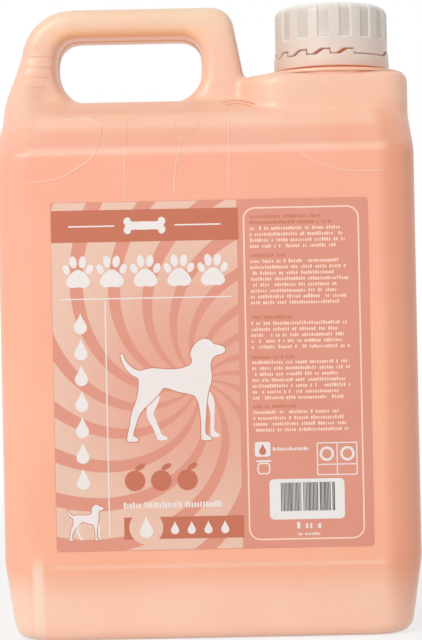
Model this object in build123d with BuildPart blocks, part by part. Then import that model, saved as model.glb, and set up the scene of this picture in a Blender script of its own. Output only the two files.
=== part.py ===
"""Shampoo bottle with a hollow handle, a tamper-evident screw cap and a film label.

Frame: millimetres, +Z up, origin at the centre of the base. X runs along the bottle's width, from the
handle (-X) to the neck (+X), and the label faces -Y.
"""
import os

from build123d import *

# --- Bottle body -------------------------------------------------------------------------------------
body_width = 152.0
body_depth = 96.0
wall = 1.3
corner_radius = 12.0
base_radius = 7.0
base_taper_x = 3.5  # how far each end draws in from the taper's top to the base
base_taper_y = 5.0
taper_height = 28.0
panel_top = 177.0  # where the flat front and back end and the shoulder starts
shoulder_top = 192.7
shoulder_depth = 54.0
crown_top = 198.2
crown_depth = 29.0
crown_draw = 1.0  # how far each end draws in over the crown
base_recess = 1.6  # push-up of the base inside its standing rim
rim_width = 13.0
recess_slope = 40

# --- Handle ------------------------------------------------------------------------------------------
handle_depth = 28.0
handle_edge_radius = 4.6
handle_top = 233.8
heel_top = 214.0
heel_sunk = 5.0  # how far the flare's foot is sunk in the shoulder
heel_draw = 1.0
heel_half_depth = 20.0  # at the crown
heel_lean = 4.9
heel_width = 13.0
heel_radius = 6.0
handle_lean = 11.2  # how far the outer post's line draws in from the crown to the handle's top
outer_corner_radius = 19.0
inner_corner_radius = 8.5
outer_post_width = 20.25
grip_top = 223.0
grip_upper_radius = 8.0
grip_lower_radius = 12.0
grip_to_neck = 49.45  # from the neck's axis to the hand hole, and to the far edge of the post between them
post_top_to_neck = 38.7
post_foot_to_neck = 33.7
foot_run = 6.0
post_bend_radius = 30.0
foot_bend_radius = 6.0
rib_heights = (205.0, 209.0, 212.9, 216.8)
rib_radius = 1.1
rib_proud = 0.35

# --- Neck --------------------------------------------------------------------------------------------
neck_inset = 27.1  # from the bottle's right-hand side to the neck's axis
block_reach = 35.9
block_top = 206.8
block_left_radius = 18.0
block_right_radius = 9.0
block_edge_radius = 3.4
ring_diameter = 54.0
ring_height = 1.3
ring_cone_height = 0.9
neck_diameter = 35.2
neck_wall = 2.6
rim_top = 230.4
bead_proud = 1.9
bead_height = 1.6
bead_above_seat = 3.0

# --- Thread ------------------------------------------------------------------------------------------
thread_pitch = 4.2
thread_depth = 1.2
thread_root = 1.7  # axial widths of a thread at its root and at its crest
thread_crest = 0.9
thread_embed = 0.25
neck_thread_turns = 1.6
cap_thread_turns = 1.3
neck_thread_below_rim = 3.0  # from the rim down to the middle of the upper end of the neck's thread

# --- Cap, band and liner -----------------------------------------------------------------------------
cap_wall = 2.1
cap_top_wall = 1.9
cap_edge_radius = 3.2
cap_height = 19.3
flute_count = 16
flute_width = 4.2
flute_depth = 0.6
flute_foot = 6.2  # height of the plain rim under the flutes
liner_thickness = 1.2
liner_clearance = 0.5
thread_clearance = 0.5  # radial, from a thread's crest to the wall that faces it
band_wall = 2.0
band_seat_gap = 0.8
band_bore_clearance = 0.4
band_lip_height = 1.6
band_lip_slope = 0.3
band_lip_clearance = 0.8
tear_gap = 0.35
tooth_height = 1.7
tooth_ramp = 2.9
tooth_flat = 2.2
notch_slack = 2.2  # how much longer than its tooth a notch is
notch_rise = 0.5
notch_side = 0.3
tooth_angle = 24.0
tooth_group = 6
tooth_first = -104.0  # angle of the first tooth of each group, from -Y towards +X

# --- Label -------------------------------------------------------------------------------------------
label_width = 114.0
label_height = 125.3
label_x = 0.8
label_bottom = 33.3
label_thickness = 0.15
label_radius = 1.2

# --- Derived sizes -----------------------------------------------------------------------------------
half_width = body_width / 2
neck_x = half_width - neck_inset
grip_left = -half_width + outer_post_width
grip_right = neck_x - grip_to_neck
post_top_x = neck_x - post_top_to_neck
post_foot_x = neck_x - post_foot_to_neck
block_left = neck_x - block_reach
ring_bottom = block_top
seat_z = ring_bottom + ring_height + ring_cone_height
band_bottom = seat_z + band_seat_gap
cap_top = rim_top + liner_thickness + cap_top_wall
cap_bottom = cap_top - cap_height
band_top = cap_bottom - tear_gap
neck_radius = neck_diameter / 2
mouth_radius = neck_radius - neck_wall
bead_radius = neck_radius + bead_proud
thread_radius = neck_radius + thread_depth
cap_bore_radius = thread_radius + thread_clearance
cap_thread_crest_radius = neck_radius + thread_clearance
bead_z = seat_z + bead_above_seat
cap_radius = cap_bore_radius + cap_wall
band_bore_radius = bead_radius + band_bore_clearance
band_radius = band_bore_radius + band_wall
band_lip_radius = neck_radius + band_lip_clearance
liner_top = rim_top + liner_thickness
neck_thread_z = rim_top - neck_thread_below_rim - neck_thread_turns * thread_pitch
cap_thread_z = neck_thread_z + thread_pitch / 2
neck_section = Plane.XZ.move(Location((neck_x, 0, 0)))
neck_axis = Axis((neck_x, 0, 0), (0, 0, 1))
handle_foot_z = (panel_top + shoulder_top) / 2
grip_bottom = crown_top


os.makedirs("parts", exist_ok=True)


def drawn_in(profile, inset):
    """An open profile of (half depth, height) points, moved inwards by inset and squared to its first end."""
    lines = [Vector(*profile[index + 1]) - Vector(*profile[index]) for index in range(len(profile) - 1)]
    normals = [Vector(-line.Y, line.X).normalized() for line in lines]
    moved = []
    for index, (half, height) in enumerate(profile):
        before = normals[max(index - 1, 0)]
        after = normals[min(index, len(normals) - 1)]
        shift = (before + after) * (inset / (1 + before.dot(after)))
        moved.append((half + shift.X, height + shift.Y))
    return moved


def body_form(inset):
    """The body without its handle and neck, drawn in from its outside by inset on every side."""
    profile = [
        (body_depth / 2 - base_taper_y, 0),
        (body_depth / 2, taper_height),
        (body_depth / 2, panel_top),
        (shoulder_depth / 2, shoulder_top),
        (crown_depth / 2, crown_top),
    ]
    half_widths = (half_width - base_taper_x, half_width, half_width, half_width, half_width - crown_draw)
    sections = drawn_in(profile, inset)
    sections[0] = (sections[0][0], inset)
    sections[-1] = (sections[-1][0], crown_top - inset)
    with BuildPart() as form:
        for half, (half_depth, height) in zip(half_widths, sections):
            with BuildSketch(Plane.XY.offset(height)):
                RectangleRounded(2 * (half - inset), 2 * half_depth, corner_radius - inset)
        loft(ruled=True)
        fillet(form.edges().group_by(Axis.Z)[0], base_radius - inset)
    return form.part


def handle_form(inset):
    """The handle with its hand hole, drawn in from its outside by inset on every side."""
    handle_radii = [0, post_bend_radius, outer_corner_radius, inner_corner_radius, foot_bend_radius, 0]
    with BuildPart() as form:
        with BuildSketch(Plane.XZ):
            with BuildLine():
                FilletPolyline(
                    (-half_width + base_taper_x, handle_foot_z),
                    (-half_width + crown_draw, crown_top),
                    (-half_width + crown_draw + handle_lean, handle_top),
                    (post_top_x, handle_top),
                    (post_foot_x, block_top),
                    (post_foot_x + foot_run, handle_foot_z),
                    radius=handle_radii,
                    close=True,
                )
            make_face()
            with BuildLine():
                FilletPolyline(
                    (grip_left, grip_bottom),
                    (grip_right, grip_bottom),
                    (grip_right, grip_top),
                    (grip_left, grip_top),
                    radius=[grip_lower_radius, grip_lower_radius, grip_upper_radius, grip_upper_radius],
                    close=True,
                )
            make_face(mode=Mode.SUBTRACT)
            if inset:
                offset(amount=-inset)
        extrude(amount=handle_depth / 2 - inset, both=True)
        fillet(form.edges().filter_by(Plane.XZ), handle_edge_radius - inset)
    return form.part


def heel_form(inset):
    """The flare from the body's end up into the outer post, drawn in by inset on every side."""
    sections = [
        (half_width, shoulder_depth / 2 - heel_draw, shoulder_top - heel_sunk),
        (half_width - crown_draw / 2, heel_half_depth, crown_top + inset / 2),
        (half_width - crown_draw - heel_lean, handle_depth / 2 - heel_draw, heel_top - inset),
    ]
    with BuildPart() as form:
        for reach, half_depth, height in sections:
            with BuildSketch(Plane.XY.offset(height)):
                with Locations((-reach + heel_width / 2, 0)):
                    RectangleRounded(heel_width - 2 * inset, 2 * (half_depth - inset), heel_radius - inset)
        loft(ruled=True)
    return form.part


def block_form(inset):
    """The raised block under the neck, drawn in from its outside by inset on every side."""
    with BuildPart() as form:
        with BuildSketch(Plane.XY.offset(handle_foot_z)):
            with BuildLine():
                FilletPolyline(
                    (block_left, -shoulder_depth / 2),
                    (half_width, -shoulder_depth / 2),
                    (half_width, shoulder_depth / 2),
                    (block_left, shoulder_depth / 2),
                    radius=[block_left_radius, block_right_radius, block_right_radius, block_left_radius],
                    close=True,
                )
            make_face()
            if inset:
                offset(amount=-inset)
        extrude(amount=block_top - inset - handle_foot_z)
        fillet(form.edges().group_by(Axis.Z)[-1], block_edge_radius - inset)
    return form.part


def thread_coil(wall_radius, crest_radius, turns, middle):
    """A right-handed thread about the neck's axis, rooted just inside the wall that carries it.

    middle is the height of the middle of its lower end.
    """
    outward = 1 if crest_radius > wall_radius else -1
    root_radius = wall_radius - outward * thread_embed
    with BuildPart() as coil:
        with BuildLine():
            path = Helix(thread_pitch, turns * thread_pitch, wall_radius, center=(neck_x, 0, middle))
        with BuildSketch(neck_section):
            with BuildLine():
                Polyline(
                    (root_radius, middle - thread_root / 2),
                    (crest_radius, middle - thread_crest / 2),
                    (crest_radius, middle + thread_crest / 2),
                    (root_radius, middle + thread_root / 2),
                    close=True,
                )
            make_face()
        sweep(path=path, is_frenet=True)
    return coil.part


def ratchet_prism(foot, top, left, right):
    """Blocks with a ramped left side, one at each ratchet tooth's place, deep enough to cross the band.

    At the band's top edge they reach left and right of the tooth's place. They stand from foot to top.
    """
    lean = tooth_ramp / tooth_height
    with BuildPart() as prism:
        for group_start in (tooth_first, tooth_first + 180):
            for index in range(tooth_group):
                with BuildSketch(around_neck(group_start + index * tooth_angle)):
                    with BuildLine():
                        Polyline(
                            (-left + lean * (foot - band_top), foot),
                            (-left + lean * (top - band_top), top),
                            (right, top),
                            (right, foot),
                            close=True,
                        )
                    make_face()
                extrude(amount=-band_radius / 2)
    return prism.part


def around_neck(angle):
    """An upright plane that touches the band and faces outwards, at an angle from -Y towards +X."""
    outwards = Vector(0, -1, 0).rotate(Axis.Z, angle)
    origin = Vector(neck_x, 0, 0) + outwards * (band_radius + 1)
    return Plane(origin=origin, x_dir=outwards.rotate(Axis.Z, 90), z_dir=outwards)


# --- The bottle --------------------------------------------------------------------------------------
with BuildPart() as neck:
    with BuildSketch(neck_section):
        with BuildLine():
            Polyline(
                (0, ring_bottom - 2 * wall),
                (ring_diameter / 2, ring_bottom - 2 * wall),
                (ring_diameter / 2, ring_bottom + ring_height),
                (band_radius - 1, seat_z),
                (neck_radius, seat_z),
                (neck_radius, bead_z),
                (bead_radius, bead_z),
                (bead_radius, bead_z + bead_height / 2),
                (neck_radius, bead_z + bead_height),
                (neck_radius, rim_top),
                (0, rim_top),
                close=True,
            )
        make_face()
    revolve(axis=neck_axis)
    add(thread_coil(neck_radius, thread_radius, neck_thread_turns, neck_thread_z))

with BuildPart() as base_push_up:
    with BuildSketch():
        RectangleRounded(body_width - 2 * rim_width, body_depth - 2 * rim_width, corner_radius)
    extrude(amount=base_recess, taper=recess_slope)

with BuildPart() as inside_push_up:
    with BuildSketch():
        inside_rim = rim_width - wall
        RectangleRounded(body_width - 2 * inside_rim, body_depth - 2 * inside_rim, corner_radius)
    extrude(amount=base_recess + wall, taper=recess_slope)

with BuildPart() as ribs:
    for height in rib_heights:
        for side in (-1, 1):
            start = -half_width + crown_draw + handle_lean * (height - crown_top) / (handle_top - crown_top)
            with BuildSketch(Plane.YZ.offset(start + handle_edge_radius)):
                with Locations((side * (handle_depth / 2 + rib_proud - rib_radius), height)):
                    Circle(rib_radius)
            extrude(amount=grip_left - handle_edge_radius - start - handle_edge_radius)

with BuildPart() as inside:
    add(body_form(wall))
    add(handle_form(wall))
    add(heel_form(wall))
    add(block_form(wall))
    add(inside_push_up.part, mode=Mode.SUBTRACT)

with BuildPart() as bottle:
    add(body_form(0))
    add(handle_form(0))
    add(heel_form(0))
    add(block_form(0))
    add(neck.part)
    add(ribs.part)
    add(inside.part, mode=Mode.SUBTRACT)
    add(base_push_up.part, mode=Mode.SUBTRACT)
    with BuildSketch(Plane.XY.offset(block_top - 3 * wall)):
        with Locations((neck_x, 0)):
            Circle(mouth_radius)
    extrude(amount=rim_top, mode=Mode.SUBTRACT)
bottle.part.label = "bottle"
export_step(bottle.part, "parts/bottle.step")

# --- The tamper band ---------------------------------------------------------------------------------
with BuildPart() as tooth_spaces:
    with BuildSketch(Plane.XY.offset(band_top)):
        with Locations((neck_x, 0)):
            Circle(band_radius + 1)
    extrude(amount=tooth_height + 1)
    add(
        ratchet_prism(band_top - 1, band_top + tooth_height, tooth_ramp + tooth_flat / 2, tooth_flat / 2),
        mode=Mode.SUBTRACT,
    )

with BuildPart() as tamper_band:
    with BuildSketch(neck_section):
        with BuildLine():
            Polyline(
                (band_lip_radius, band_bottom),
                (band_radius, band_bottom),
                (band_radius, band_top + tooth_height),
                (band_bore_radius, band_top + tooth_height),
                (band_bore_radius, band_bottom + band_lip_height + band_lip_slope),
                (band_lip_radius, band_bottom + band_lip_height),
                close=True,
            )
        make_face()
    revolve(axis=neck_axis)
    add(tooth_spaces.part, mode=Mode.SUBTRACT)
tamper_band.part.label = "tamper_band"
export_step(tamper_band.part, "parts/tamper_band.step")

# --- The screw cap -----------------------------------------------------------------------------------
with BuildPart() as screw_cap:
    with BuildSketch(neck_section):
        with BuildLine():
            FilletPolyline(
                (0, cap_bottom),
                (cap_radius, cap_bottom),
                (cap_radius, cap_top),
                (0, cap_top),
                radius=[0, 0, cap_edge_radius, 0],
                close=True,
            )
        make_face()
        with Locations((cap_bore_radius / 2, (cap_bottom + liner_top) / 2)):
            Rectangle(cap_bore_radius, liner_top - cap_bottom, mode=Mode.SUBTRACT)
    revolve(axis=neck_axis)
    with BuildSketch(Plane.XY.offset(cap_bottom + flute_foot)):
        with Locations((neck_x, 0)):
            with PolarLocations(cap_radius - flute_depth, flute_count, start_angle=180 / flute_count):
                Rectangle(cap_wall, flute_width, align=(Align.MIN, Align.CENTER))
    extrude(amount=cap_height, mode=Mode.SUBTRACT)
    add(thread_coil(cap_bore_radius, cap_thread_crest_radius, cap_thread_turns, cap_thread_z))
    add(
        ratchet_prism(
            cap_bottom - 1,
            band_top + tooth_height + notch_rise,
            tooth_ramp + tooth_flat / 2 + notch_slack,
            tooth_flat / 2 + notch_side,
        ),
        mode=Mode.SUBTRACT,
    )
screw_cap.part.label = "screw_cap"
export_step(screw_cap.part, "parts/screw_cap.step")

# --- The cap liner -----------------------------------------------------------------------------------
with BuildPart() as cap_liner:
    with BuildSketch(Plane.XY.offset(rim_top)):
        with Locations((neck_x, 0)):
            Circle(cap_bore_radius - liner_clearance)
    extrude(amount=liner_thickness)
cap_liner.part.label = "cap_liner"
export_step(cap_liner.part, "parts/cap_liner.step")

# --- The label ---------------------------------------------------------------------------------------
with BuildPart() as label:
    with BuildSketch(Plane.XZ.offset(body_depth / 2)):
        with Locations((label_x, label_bottom + label_height / 2)):
            RectangleRounded(label_width, label_height, label_radius)
    extrude(amount=label_thickness)
label.part.label = "label"
export_step(label.part, "parts/label.step")

for piece in (bottle, tamper_band, screw_cap, cap_liner, label):
    print(piece.part.label, piece.part.is_valid, len(piece.solids()), round(piece.part.volume), "mm3")
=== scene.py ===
"""The looks of a peach shampoo bottle: hollow moulded shell, tamper-evident cap and printed film label.

Sizes are millimetres in the fields and metres in the meshes. +Z is up, X runs from the handle (-X) to the
neck (+X), and the label faces -Y.
"""
import sys

import logging
import math
from dataclasses import dataclass
from enum import Enum
from typing import Callable, Iterable, Sequence

import bmesh
import bpy
from mathutils import Matrix, Vector
from mathutils.bvhtree import BVHTree

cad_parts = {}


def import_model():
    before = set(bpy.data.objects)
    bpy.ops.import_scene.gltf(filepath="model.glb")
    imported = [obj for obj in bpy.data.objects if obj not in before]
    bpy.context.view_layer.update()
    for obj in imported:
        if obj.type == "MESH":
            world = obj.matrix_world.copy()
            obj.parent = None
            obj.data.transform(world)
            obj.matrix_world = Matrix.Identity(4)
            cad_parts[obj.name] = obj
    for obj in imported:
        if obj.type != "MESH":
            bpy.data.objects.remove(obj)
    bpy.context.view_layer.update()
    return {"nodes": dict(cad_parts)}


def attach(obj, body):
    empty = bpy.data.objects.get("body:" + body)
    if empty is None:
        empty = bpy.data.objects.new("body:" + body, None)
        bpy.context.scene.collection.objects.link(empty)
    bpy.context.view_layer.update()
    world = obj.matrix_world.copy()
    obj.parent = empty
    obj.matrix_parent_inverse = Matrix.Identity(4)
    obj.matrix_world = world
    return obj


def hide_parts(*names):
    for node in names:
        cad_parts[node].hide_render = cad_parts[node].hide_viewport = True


MM = 0.001
NECK_X = 48.9
THREAD_PITCH = 4.2
FLUTES = 16
# Turns what is drawn on the XY plane to face -Y.
UPRIGHT = Matrix.Rotation(math.pi / 2, 4, "X")
log = logging.getLogger("shampoo_bottle")

Flat = tuple[float, float]
Solid = tuple[float, float, float]
Colour = tuple[float, float, float, float]
Row = Callable[[float], Flat]


# --- Nodes -------------------------------------------------------------------------------------------
class Wire:
    """An output socket whose arithmetic adds Math nodes to its graph."""

    def __init__(self, graph: "Graph", socket: bpy.types.NodeSocket) -> None:
        """Keeps the graph and the socket."""
        self.graph = graph
        self.socket = socket

    def math(self, operation: str, *others: "Wire | float") -> "Wire":
        """This value put through one Math operation with the others."""
        values = dict(enumerate((self, *others)))
        return self.graph.add("ShaderNodeMath", {"operation": operation}, values)

    def __add__(self, other: "Wire | float") -> "Wire":
        """The sum."""
        return self.math("ADD", other)

    __radd__ = __add__

    def __mul__(self, other: "Wire | float") -> "Wire":
        """The product."""
        return self.math("MULTIPLY", other)

    __rmul__ = __mul__

    def __sub__(self, other: "Wire | float") -> "Wire":
        """The difference."""
        return self.math("SUBTRACT", other)

    def __rsub__(self, other: float) -> "Wire":
        """The difference from a plain number."""
        return self.math("MULTIPLY", -1.0) + other

    def __truediv__(self, other: "Wire | float") -> "Wire":
        """The quotient."""
        return self.math("DIVIDE", other)

    def rise(self, low: float, high: float) -> "Wire":
        """A smooth step from 0 at low to 1 at high."""
        return self.graph.add(
            "ShaderNodeMapRange",
            {"interpolation_type": "SMOOTHSTEP"},
            {"Value": self, "From Min": low, "From Max": high},
        )

    def between(self, low: float, high: float, soft: float) -> "Wire":
        """1 from low to high, falling to 0 over soft on both sides."""
        return self.rise(low - soft, low) * (1.0 - self.rise(high, high + soft))


class Graph:
    """A node tree of a material, a world or a geometry modifier."""

    def __init__(self, tree: bpy.types.NodeTree) -> None:
        """Keeps the tree."""
        self.tree = tree

    def add(
        self,
        kind: str,
        settings: dict[str, object] | None = None,
        inputs: dict[str | int, object] | None = None,
        output: str | int = 0,
    ) -> Wire | None:
        """Adds one node.

        Args:
            kind: The node's type name.
            settings: The node's properties, which are set first.
            inputs: Values or wires for the node's sockets, by name or number.
            output: The output wanted.

        Returns:
            The wanted output, or None where the node has no outputs.
        """
        node = self.tree.nodes.new(kind)
        for name, value in (settings or {}).items():
            setattr(node, name, value)
        for name, value in (inputs or {}).items():
            if isinstance(value, Wire):
                self.tree.links.new(value.socket, node.inputs[name])
            else:
                node.inputs[name].default_value = value
        return Wire(self, node.outputs[output]) if len(node.outputs) else None

    def mix(self, factor: "Wire | float", first: object, second: object) -> Wire:
        """A colour that goes from first to second."""
        settings = {"data_type": "RGBA"}
        return self.add("ShaderNodeMix", settings, {0: factor, 6: first, 7: second}, 2)

    def stain(self, blotches: Wire, colour: object, dirt: Colour, share: float) -> Wire:
        """A colour with a share of another one in its blotches."""
        return self.mix(blotches, colour, self.mix(share, colour, dirt))

    def place(self) -> Wire:
        """Object coordinates."""
        return self.add("ShaderNodeTexCoord", output="Object")

    def axis(self, name: str) -> Wire:
        """One axis of the object coordinates, in metres."""
        return self.add("ShaderNodeSeparateXYZ", inputs={0: self.place()}, output=name)

    def noise(self, size: float, detail: float = 2.0) -> Wire:
        """Noise of about 0 to 1 whose blotches are size millimetres across."""
        inputs = {"Vector": self.place(), "Scale": 1.0 / (size * MM), "Detail": detail}
        return self.add("ShaderNodeTexNoise", inputs=inputs)

    def bump(self, height: Wire, depth: float, below: Wire | None = None) -> Wire:
        """A bump of depth millimetres for a height of 0 to 1, on top of another bump."""
        inputs = {"Height": height, "Distance": depth * MM}
        if below:
            inputs["Normal"] = below
        return self.add("ShaderNodeBump", inputs=inputs)


def rgb(red: int, green: int, blue: int) -> Colour:
    """A colour of 0 to 255 parts as linear values."""
    parts = [part / 255 for part in (red, green, blue)]
    linear = [p / 12.92 if p <= 0.04045 else ((p + 0.055) / 1.055) ** 2.4 for p in parts]
    return (*linear, 1.0)


def fresh_graph(owner: bpy.types.Material | bpy.types.World) -> Graph:
    """The emptied node graph of a material or a world."""
    owner.use_nodes = True
    owner.node_tree.nodes.clear()
    return Graph(owner.node_tree)


# --- Finishes ----------------------------------------------------------------------------------------
@dataclass(frozen=True)
class Finish:
    """A surface finish that makes one material."""

    name: str

    def surface(self, graph: Graph) -> dict[str, object]:
        """Values and wires for the Principled shader's sockets."""
        raise NotImplementedError

    def material(self) -> bpy.types.Material:
        """The finish's material, made on first use."""
        found = bpy.data.materials.get(self.name)
        if found:
            return found
        made = bpy.data.materials.new(self.name)
        graph = fresh_graph(made)
        shader = graph.add("ShaderNodeBsdfPrincipled", inputs=self.surface(graph))
        graph.add("ShaderNodeOutputMaterial", inputs={"Surface": shader})
        return made


@dataclass(frozen=True)
class PeachPlastic(Finish):
    """Milky tinted plastic: yellower in the hollow handle, pinker high on the body, paler low down from
    painted floor light, with painted highlights and shade.
    """

    full: Colour = rgb(250, 181, 151)
    blush: Colour = rgb(248, 173, 149)
    empty: Colour = rgb(243, 197, 172)
    # Paler at the top: the handle's thin empty plastic, with painted light where light falls on its top.
    rim: Colour = rgb(238, 210, 180)
    # Paler low down: painted light bounced up from the floor.
    foot: Colour = rgb(252, 208, 185)
    # Painted highlights on the shoulder creases, the base crease and the lower left corner and end.
    painted_highlight: Colour = rgb(253, 221, 201)
    # Painted shade on the front of the sloping shoulder between the creases.
    slope_shade: Colour = rgb(236, 167, 148)
    # Painted shade on the right end, which is turned away from the key lamp.
    side: Colour = rgb(222, 148, 114)
    # Painted light that brightens the shaded bevel above the hand hole.
    glow: Colour = rgb(255, 202, 152)
    cloud: Colour = rgb(232, 140, 104)
    # The painted glow under the cap, standing in for light through it: its colour, and the neck centre
    # and radius that bound it.
    lamp: Colour = rgb(250, 150, 100)
    neck: Flat = (NECK_X, 22.0)

    def tint(self, graph: Graph) -> Wire:
        """The colour by height, with painted shade on the right end and the sloping shoulder, and painted
        highlights on the creases and corners.
        """
        height, across = graph.axis("Z"), graph.axis("X")
        front = 1.0 - graph.axis("Y").rise(-0.034, -0.024)
        blushing = height.rise(0.085, 0.15) * (1.0 - height.rise(0.174, 0.186))
        tinted = graph.mix(blushing * 0.8, self.full, self.blush)
        filled = graph.mix(height.rise(0.178, 0.200), tinted, self.empty)
        # Paler at the top: thin empty plastic, with painted light on the handle's top.
        topped = graph.mix(height.rise(0.218, 0.236), filled, self.rim)
        # Painted shade on the front of the sloping shoulder.
        slope_shade_mask = height.between(0.1795, 0.1840, 0.0035) * across.between(-0.0600, 0.0600, 0.006)
        shaded = graph.mix(slope_shade_mask * front * 0.32, topped, self.slope_shade)
        # Painted light bounced up from the floor, low on the body.
        low = graph.mix((1.0 - height.rise(0.014, 0.0285)) * 0.9, shaded, self.foot)
        # Painted shade on the right end, away from the key lamp.
        deep = across.rise(0.0605, 0.0660) * (1.0 - height.rise(0.182, 0.200)) * height.rise(0.0, 0.03)
        shaded_right_end = graph.mix(deep * 0.60, low, self.side)
        # Painted highlights: the two shoulder creases, the base crease, the lower left corner and the
        # lower end.
        crease = height.between(0.1766, 0.1776, 0.0018) * across.between(-0.0630, 0.0630, 0.004)
        above = height.between(0.1880, 0.1925, 0.0035) * across.between(-0.0600, 0.0600, 0.004)
        base = height.between(0.0272, 0.0278, 0.0010) * across.between(-0.0560, 0.0600, 0.004)
        corner = across.between(-0.0640, -0.0622, 0.0020) * height.between(0.0060, 0.0240, 0.010)
        end = (1.0 - across.rise(-0.070, -0.061)) * (1.0 - height.rise(0.012, 0.030))
        painted_highlight_mask = crease * 0.34 + above * 0.30 + base * 0.30 + corner * 0.90 + end * 0.45
        highlighted = graph.mix(painted_highlight_mask * front, shaded_right_end, self.painted_highlight)
        # Painted light on the bevel above the hand hole, which the lamps leave in shade.
        grip = height.between(0.2225, 0.2240, 0.0035) * across.between(-0.052, -0.004, 0.009)
        return graph.mix(grip * 0.55, highlighted, self.glow)

    def surface(self, graph: Graph) -> dict[str, object]:
        """The tint, a faint cloudiness, the fine skin of a blown bottle, and a painted glow under the cap
        for light through it.
        """
        height = graph.axis("Z")
        clouds = graph.noise(30.0, 3.0)
        skin = graph.bump(graph.noise(16.0, 1.0), 0.16)
        grain = graph.bump(graph.noise(0.9, 2.0), 0.010, skin)
        off = graph.axis("X") - self.neck[0] * MM
        depth = graph.axis("Y")
        radius = (off * off + depth * depth).math("SQRT")
        inside = 1.0 - radius.rise(self.neck[1] * MM, (self.neck[1] + 1.0) * MM)
        # A painted glow on the neck under the cap and band, standing in for light through the cap's
        # plastic.
        through = height.between(0.2086, 0.2160, 0.0010) * inside * 0.22
        return {
            "Base Color": graph.stain(clouds.rise(0.35, 0.65), self.tint(graph), self.cloud, 0.10),
            "Roughness": 0.25 + 0.12 * clouds,
            "Normal": grain,
            "IOR": 1.5,
            "Subsurface Weight": 0.12,
            "Subsurface Radius": (1.0, 0.45, 0.25),
            "Subsurface Scale": 0.003,
            "Emission Color": graph.mix(through, (0.0, 0.0, 0.0, 1.0), self.lamp),
            "Emission Strength": 1.0,
        }


@dataclass(frozen=True)
class CapPlastic(Finish):
    """Off-white moulded plastic, warmer towards the bottle, with painted shade in the flutes and painted
    light on the top.
    """

    upper: Colour = rgb(219, 211, 202)
    lower: Colour = rgb(229, 206, 193)
    # Painted light on the cap's top and a painted highlight on each flute's lower lip.
    top: Colour = rgb(240, 243, 238)
    # Painted shade in the recessed flutes.
    flute_shade: Colour = rgb(205, 195, 185)
    dust: Colour = rgb(150, 135, 122)
    half_flute: float = 5.4
    foot: float = 220.4

    def surface(self, graph: Graph) -> dict[str, object]:
        """Colour by height, painted shade in the flutes, painted highlights on their lower lips and the
        top, and a fine satin grain.
        """
        height = graph.axis("Z")
        speckle = graph.noise(5.0, 3.0)
        across = graph.axis("X") - NECK_X * MM
        angle = across.math("ARCTAN2", graph.axis("Y") * -1.0) * (180 / math.pi) + 360.0
        pitch = 360.0 / FLUTES
        off = (angle.math("MODULO", pitch) - pitch / 2).math("ABSOLUTE")
        inside = 1.0 - off.rise(self.half_flute - 0.7, self.half_flute + 0.3)
        raised = height.rise((self.foot - 0.1) * MM, (self.foot + 0.5) * MM)
        open_side = 1.0 - height.rise(0.2300, 0.2322)
        colour = graph.mix(height.rise(0.208, 0.228), self.lower, self.upper)
        # Painted shade in the flutes, below the top.
        fluted = graph.mix(inside * raised * open_side * 0.8, colour, self.flute_shade)
        # A painted highlight on the lower lip of each flute.
        lip = inside * height.between((self.foot - 0.3) * MM, self.foot * MM, 0.00015) * 0.55
        lipped = graph.mix(lip, fluted, self.top)
        # Painted light on the cap's top.
        capped = graph.mix(height.rise(0.2312, 0.2335), lipped, self.top)
        return {
            "Base Color": graph.stain(speckle.rise(0.4, 0.75), capped, self.dust, 0.06),
            "Roughness": 0.30 + 0.14 * speckle,
            "Normal": graph.bump(graph.noise(0.7, 2.0), 0.01),
            "Subsurface Weight": 0.08,
            "Subsurface Radius": (1.0, 0.8, 0.6),
            "Subsurface Scale": 0.002,
        }


@dataclass(frozen=True)
class LinerFoam(Finish):
    """White closed-cell foam."""

    colour: Colour = rgb(238, 236, 230)

    def surface(self, graph: Graph) -> dict[str, object]:
        """Small cells over a matt sheet."""
        cells = graph.add(
            "ShaderNodeTexVoronoi", inputs={"Vector": graph.place(), "Scale": 1.0 / (0.45 * MM)}
        )
        shaded = graph.mix(0.12, self.colour, rgb(170, 165, 155))
        return {
            "Base Color": graph.mix(cells.rise(0.1, 0.6), shaded, self.colour),
            "Roughness": 0.75 + 0.15 * cells,
            "Normal": graph.bump(cells, 0.05),
        }


PRINT_STAIN = rgb(190, 110, 85)


def varnished(graph: Graph, colour: Wire) -> dict[str, object]:
    """A print colour under satin varnish, with faint ripples in the film."""
    ripple = graph.noise(18.0, 1.0)
    return {
        "Base Color": colour,
        "Roughness": 0.38 + 0.08 * ripple,
        "Normal": graph.bump(ripple, 0.12),
    }


@dataclass(frozen=True)
class LabelFilm(Finish):
    """Printed label film."""

    colour: Colour = rgb(219, 147, 126)

    def surface(self, graph: Graph) -> dict[str, object]:
        """One even print colour under the varnish."""
        blotches = graph.noise(18.0, 1.0).rise(0.35, 0.7)
        return varnished(graph, graph.stain(blotches, self.colour, PRINT_STAIN, 0.06))


@dataclass(frozen=True)
class Print(Finish):
    """One printing ink on the label, which can pale with distance from a point."""

    colour: Colour
    far: Colour | None = None
    centre: Flat = (0.0, 0.0)
    reach: Flat = (10.0, 60.0)

    def surface(self, graph: Graph) -> dict[str, object]:
        """The ink's colour, a little uneven, under the label's varnish."""
        colour = self.colour
        if self.far:
            across = graph.axis("X") - self.centre[0] * MM
            up = graph.axis("Z") - self.centre[1] * MM
            distance = (across * across + up * up).math("SQRT")
            colour = graph.mix(
                distance.rise(self.reach[0] * MM, self.reach[1] * MM), self.colour, self.far
            )
        blotches = graph.noise(3.0, 2.0).rise(0.4, 0.8)
        return varnished(graph, graph.stain(blotches, colour, PRINT_STAIN, 0.05))


PEACH = PeachPlastic("peach_plastic")
# Paler copies of the plastic's colours for raised lines: a painted highlight on the ridges.
PEACH_HIGHLIGHT = PeachPlastic(
    "peach_relief_highlight", rgb(252, 194, 167), rgb(250, 191, 168), rgb(247, 206, 180), rgb(240, 215, 188)
)
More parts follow.
